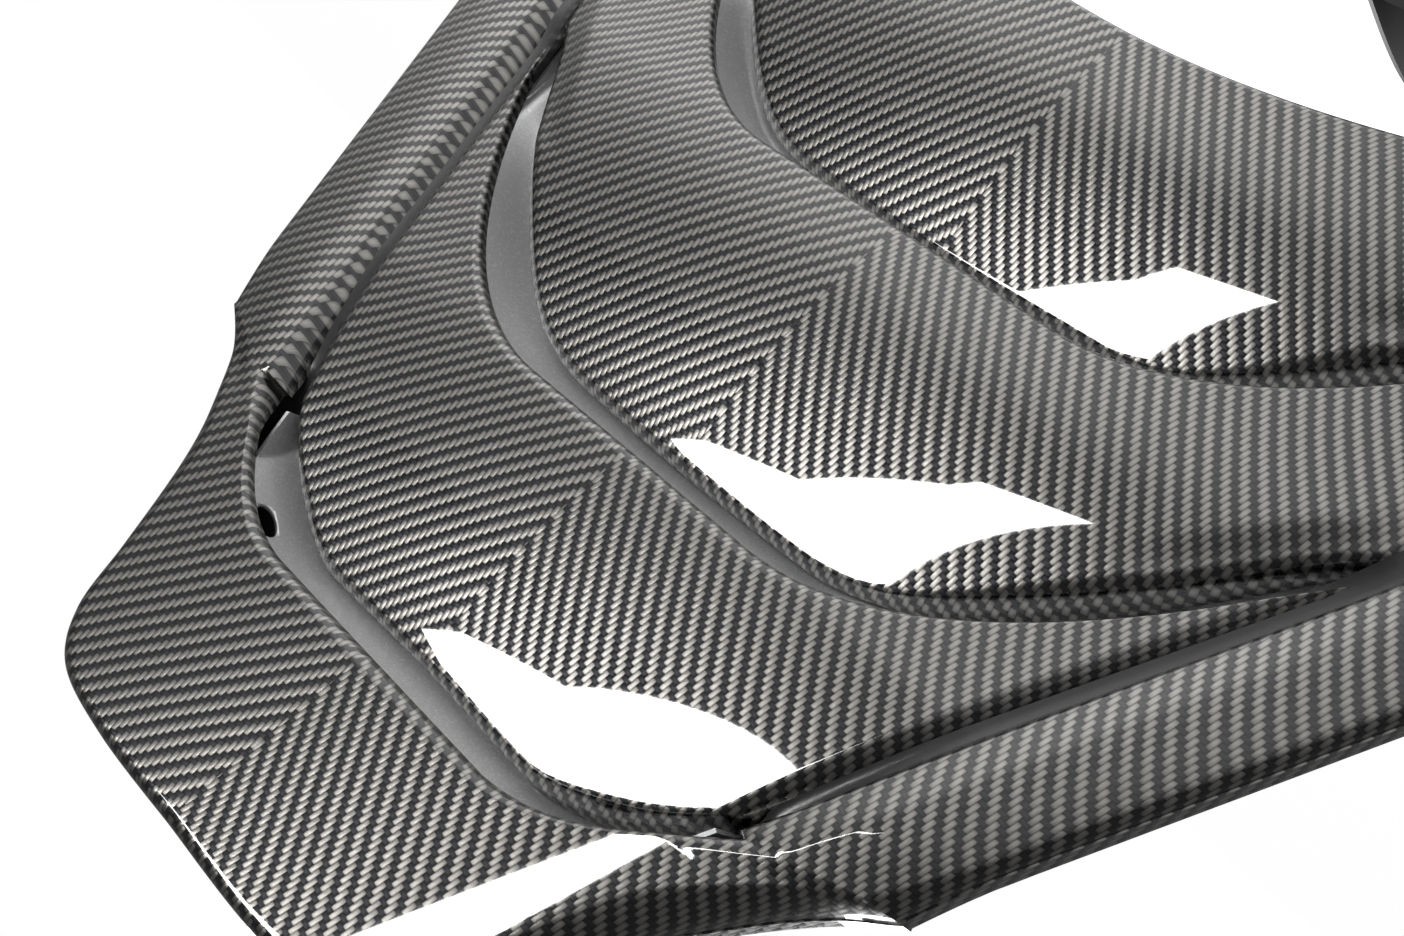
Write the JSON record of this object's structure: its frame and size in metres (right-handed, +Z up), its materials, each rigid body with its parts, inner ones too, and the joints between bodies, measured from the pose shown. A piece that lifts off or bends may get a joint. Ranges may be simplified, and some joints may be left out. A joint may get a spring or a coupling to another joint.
{
  "type": "racing seat",
  "caption": "Carbon-fibre bucket racing seat with a louvred back shell, separate pads and harness slots, on side brackets and manual slide rails.",
  "frame": {"origin": "centre of the four floor bolts, on the underside of the lower rails", "axes": "+X to the sitter's left, -Y the way the seat faces, +Z up"},
  "size_m": [0.5958, 0.7836, 0.9513],
  "materials": {
    "inner_carbon": "satin woven carbon",
    "clear_coated_carbon": "twill carbon under gloss clear coat",
    "silver_liner": "satin metallic silver with fine sparkle",
    "adhesive": "cured grey adhesive",
    "edge_rubber": "matte",
    "pad_fabric": "woven black fabric on foam",
    "bezel_plastic": "moulded satin black",
    "bright_steel": "zinc plated",
    "bracket_paint": "satin black powder coat",
    "black_bolt": "black oxide",
    "rail_steel": "zinc phosphate",
    "cage_plastic": "natural nylon",
    "bar_paint": "satin black",
    "latch_steel": "yellow zinc plated",
    "spring_steel": "oiled spring wire"
  },
  "bodies": {
    "base": {"lower_rail_left": "rail_steel", "lower_rail_right": "rail_steel", "rail_end_stops": "rail_steel"},
    "seat": {"bucket_pan": "inner_carbon", "bucket_hips": "inner_carbon", "bucket_back": "inner_carbon", "bucket_head": "inner_carbon", "outer_shell": "clear_coated_carbon", "louvre_blade_upper": "clear_coated_carbon", "louvre_blade_middle": "clear_coated_carbon", "louvre_blade_lower": "clear_coated_carbon", "louvre_liner_upper": "silver_liner", "louvre_liner_middle": "silver_liner", "louvre_liner_lower": "silver_liner", "groove_bond_left": "adhesive", "groove_bond_right": "adhesive", "window_trim": "edge_rubber", "head_pad": "pad_fabric", "upper_back_pad": "pad_fabric", "mid_back_pad": "pad_fabric", "lumbar_pad": "pad_fabric", "seat_cushion": "pad_fabric", "torso_pad_left": "pad_fabric", "torso_pad_right": "pad_fabric", "hip_pad_left": "pad_fabric", "hip_pad_right": "pad_fabric", "shoulder_belt_bezel_left": "bezel_plastic", "shoulder_belt_bezel_right": "bezel_plastic", "lap_belt_bezel_left": "bezel_plastic", "lap_belt_bezel_right": "bezel_plastic", "crotch_belt_bezel": "bezel_plastic", "shell_inserts": "bright_steel", "side_bracket_left": "bracket_paint", "side_bracket_right": "bracket_paint", "shell_bolts": "black_bolt", "shell_washers": "bright_steel", "bracket_bolts": "black_bolt", "upper_rail_left": "rail_steel", "upper_rail_right": "rail_steel", "pivot_pins": "bright_steel"},
    "cage_left": {"ball_cage_left": "cage_plastic", "rail_balls_left": "bright_steel"},
    "cage_right": {"ball_cage_right": "cage_plastic", "rail_balls_right": "bright_steel"},
    "bar": {"release_bar": "bar_paint", "bar_grip": "edge_rubber", "latch_plate_left": "latch_steel", "latch_plate_right": "latch_steel", "return_springs": "spring_steel"}
  },
  "joints": [
    {"name": "seat_slide", "type": "slide", "parent": "base", "child": "seat", "axis": [0, -1, 0], "range_m": [-0.08, 0.08]},
    {"name": "cage_slide_left", "type": "slide", "parent": "base", "child": "cage_left", "axis": [0, -1, 0], "range_m": [-0.04, 0.04]},
    {"name": "cage_slide_right", "type": "slide", "parent": "base", "child": "cage_right", "axis": [0, -1, 0], "range_m": [-0.04, 0.04]},
    {"name": "bar_lift", "type": "hinge", "parent": "seat", "child": "bar", "pos_m": [0, -0.06, 0.042], "axis": [-1, 0, 0], "range_deg": [-3, 8], "stiffness_Nm_per_rad": 1.5, "springref_deg": -3}
  ],
  "couplings": [
    {"joint": "cage_slide_left", "follows": "seat_slide", "ratio": 0.5},
    {"joint": "cage_slide_right", "follows": "seat_slide", "ratio": 0.5}
  ]
}
